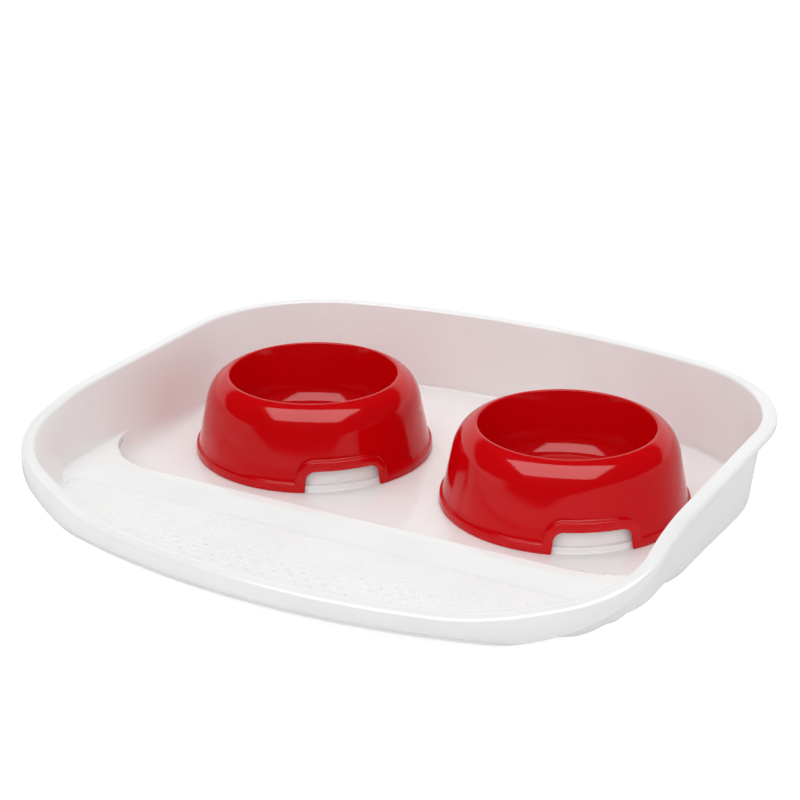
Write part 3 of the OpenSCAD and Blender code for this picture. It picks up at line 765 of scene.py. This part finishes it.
# A bowl: rows of points from the underside's pole down the inside of the skirt, round the
# base and its notches, up the raised border, the skirt, the shoulder and the thin edge, and
# down the basin to its pole. A row has an angle, a radius and a height for each column.
def makeBowl(name, node, side, turned, v):
    quarterLow, quarterHigh = notchContour(v)
    lowA, lowZ = wholeContour(quarterLow, v["radius"])
    highA, highZ = wholeContour(quarterHigh, v["radius"])
    evenA = 0.5 * (np.linspace(0, 2 * np.pi, len(lowA), endpoint=False) + highA)
    wall, start, turnZ = v["wall"], v["skirtStart"], v["height"] - v["shoulderHeight"]
    skirtR = v["radius"] - v["flangeOut"] - v["skirtIn"]
    lean = (skirtR - v["shoulder"]) / (turnZ - v["flange"])
    way = np.stack([(highA - lowA) * v["radius"], highZ - lowZ])
    way = way / np.linalg.norm(way, axis=0)

    # Radius of the band round the base and of the skirt over it: each leans in with the height
    def band(z):
        return v["radius"] - v["bandLean"] * z

    def skirt(z):
        return skirtR - (z - v["flange"]) * lean

    # A row on the border: a point between the two lines, moved by a length along the way
    def border(share, length, off, radiusAt):
        a = lowA + share * (highA - lowA) + length * way[0] / v["radius"]
        z = lowZ + share * (highZ - lowZ) + length * way[1]
        return a, radiusAt(z) + off, z

    # A level round row
    def ring(r, z):
        return evenA, np.full(len(evenA), float(r)), np.full(len(evenA), float(z))

    # Rings on an arc about a centre, between two angles in degrees
    def arc(centreR, centreZ, radius, first, last, count):
        return [ring(centreR + radius * math.cos(a), centreZ + radius * math.sin(a))
                for a in np.radians(np.linspace(first, last, count))]

    # Rows up the skirt, which turn from the border's line into level rings
    def skirtRows(off):
        rows = []
        a0, _, z0 = border(1, start, 0, skirt)
        for t in np.linspace(0, 1, 9)[1:-1]:
            z = z0 + t * (turnZ - z0)
            rows.append((a0 + smooth(t) * (evenA - a0), skirt(z) + off, z))
        return rows

    # Rings on a pulled curve, between two of its points in hundredths of its length
    def curve(a, pull, b, first, last, count):
        points = roundedCorner(a, pull, b, 101)
        return [ring(*points[k]) for k in np.linspace(first, last, count).astype(int)]

    rim, topZ, edge = v["rim"], v["height"], v["rimRound"]
    basinZ, turn, middle = topZ - v["basinDepth"], v["basinTurn"], v["basinFloor"] * 0.5
    kneeR = v["shoulder"] - (v["shoulderHeight"] - v["shoulderPull"]) * lean
    kneeZ, inner = topZ - v["shoulderPull"], v["innerPull"] * wall
    rows = [ring(0, basinZ - wall), ring(middle, basinZ - wall)]
    rows += arc(v["basinFloor"], basinZ + turn, turn + wall, -90, 0, 10)
    rows += [ring(rim - v["underRim"][0], topZ - v["underRim"][1])]
    rows += curve([rim - v["innerRim"], topZ - wall], [kneeR - inner, kneeZ - inner],
                  [v["shoulder"] - wall, turnZ], 4, 100, 9)
    rows += skirtRows(-wall)[::-1] + [border(1, start, -wall, skirt)]
    rows += [border(share, length, off - wall, band) for share, length, off in v["bandInside"]]
    rows += [border(*row, band) for row in v["bandOutside"]]
    rows += [border(*row, skirt) for row in v["bandRoot"]]
    rows += [border(1, start, 0, skirt)] + skirtRows(0)
    rows += curve([v["shoulder"], turnZ], [kneeR, kneeZ], [rim, topZ], 0, 95, 16)
    rows += arc(rim - v["rimOut"], topZ - edge, edge, 72, 90, 3)
    rows += arc(rim - wall + edge, topZ - edge, edge, 90, 175, 6)
    rows += arc(v["basinFloor"], basinZ + turn, turn, 0, -90, 12)
    rows += [ring(middle, basinZ), ring(0, basinZ)]
    a, r, z = (np.stack([row[k] for row in rows]) for k in range(3))
    a = a + math.radians(turned) - np.pi / 2
    centre = (side * seats["spacing"] / 2, seats["y"])
    x, y = centre[0] + r * np.cos(a), centre[1] + r * np.sin(a)
    points = np.stack([x, y, z + tray["floor"]], axis=-1)
    obj = meshOf(name, [closedRows(points)], bowlMaterial)
    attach(obj, node)
    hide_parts(node)


# Each bowl's notch is turned from the front towards the right, in degrees
makeBowl("leftRedBowl", "left_bowl", -1, 45, bowl)
makeBowl("rightRedBowl", "right_bowl", 1, 37, bowl)
print("bowls made")

for name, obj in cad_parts.items():
    if name.startswith("foot_"):
        for slot in obj.material_slots:
            slot.material = rubberMaterial
print("feet finished")

floor = {"size": 14.0, "colour": (0.93, 0.93, 0.93, 1), "roughness": 0.7, "specular": 0.1,
         "glow": 0.7, "glowColour": (1, 1, 1, 1)}


# A pale floor that shows white to the camera and in no reflection
def makeFloor(v):
    half = v["size"] / 2
    mesh = bpy.data.meshes.new("floor")
    mesh.from_pydata([(-half, -half, 0), (half, -half, 0), (half, half, 0), (-half, half, 0)], [],
                     [(0, 1, 2, 3)])
    g = plasticGraph("paleFloor")
    seen = g.node("ShaderNodeLightPath", out="Is Camera Ray")
    g.feed(g.shader, {"Base Color": v["colour"], "Roughness": v["roughness"],
                      "Specular IOR Level": v["specular"], "Emission Color": v["glowColour"],
                      "Emission Strength": seen * v["glow"]})
    mesh.materials.append(g.owner)
    obj = bpy.data.objects.new("floor", mesh)
    scene.collection.objects.link(obj)
    obj.visible_glossy = False


# Heights and directions are parts of a unit vector: 1 is straight up, or towards the viewer
sky = {"even": 0.645, "sides": 1.0, "back": 0.85, "dark": 0.03, "viewerSide": (0.3, 0.55),
       "backSide": (0.1, 0.8), "top": 0.06, "topBehind": 0.45, "topFade": 0.1,
       "lowFade": (-0.32, -0.1), "low": 0.8}


# Light from all round. Soft surfaces get one even sky. Glossy ones mirror a bright band that is
# low at the sides and higher behind, and almost nothing in front, where the photograph was
# taken. The camera itself sees white.
def makeSky(v):
    g = Graph(bpy.data.worlds.new("studio"), "Background")
    x, y, z = g.parts(g.place("Generated"), "XYZ")
    ahead = towardsViewer(cameraView["azimuth"], 0)
    facing = x * ahead.x + y * ahead.y
    behind = (0 - facing).step(*v["backSide"])
    top = behind * v["topBehind"] + v["top"]
    band = ((1 - facing.step(*v["viewerSide"])) * (1 - (z - top).step(0, v["topFade"]))
            * (v["low"] + z.step(*v["lowFade"]) * (1 - v["low"])))
    reflected = band * (v["sides"] + behind * (v["back"] - v["sides"])) + v["dark"]
    glossy = g.node("ShaderNodeLightPath", out="Is Glossy Ray")
    seen = g.node("ShaderNodeLightPath", out="Is Camera Ray")
    light = v["even"] + glossy * (reflected - v["even"])
    g.feed(g.shader, {"Color": (1, 1, 1, 1), "Strength": light + seen * (1 - light)})
    scene.world = g.owner


lights = {"aim": (0, 0, 0.05),
          "lamps": [  # name, azimuth, elevation, distance, width, height, strength, mirrored only
              ("overheadSoftbox", 19, 69, 1.6, 2.1, 1.55, 56, True),
              ("topFill", 212, 62, 2.2, 1.8, 1.6, 16, False),
              ("frontFill", 10, 38, 2.6, 2.6, 1.6, 14, False),
              ("rightFill", 100, 30, 2.4, 1.8, 1.6, 2, False)]}


# Rectangular lamps round the tray that the camera doesn't see: the softbox only shows in
# glossy surfaces, the fills only light them
def makeLights(v):
    for name, azimuth, elevation, distance, width, height, strength, mirroredOnly in v["lamps"]:
        lamp = bpy.data.lights.new(name, "AREA")
        lamp.shape, lamp.size, lamp.size_y, lamp.energy = "RECTANGLE", width, height, strength
        obj = bpy.data.objects.new(name, lamp)
        scene.collection.objects.link(obj)
        obj.location = distance * towardsViewer(azimuth, elevation)
        lookAt(obj, v["aim"])
        obj.visible_camera = False
        obj.visible_glossy, obj.visible_diffuse = mirroredOnly, not mirroredOnly


makeFloor(floor)
makeSky(sky)
makeLights(lights)
scene.view_settings.view_transform = "Standard"
print("studio lit")
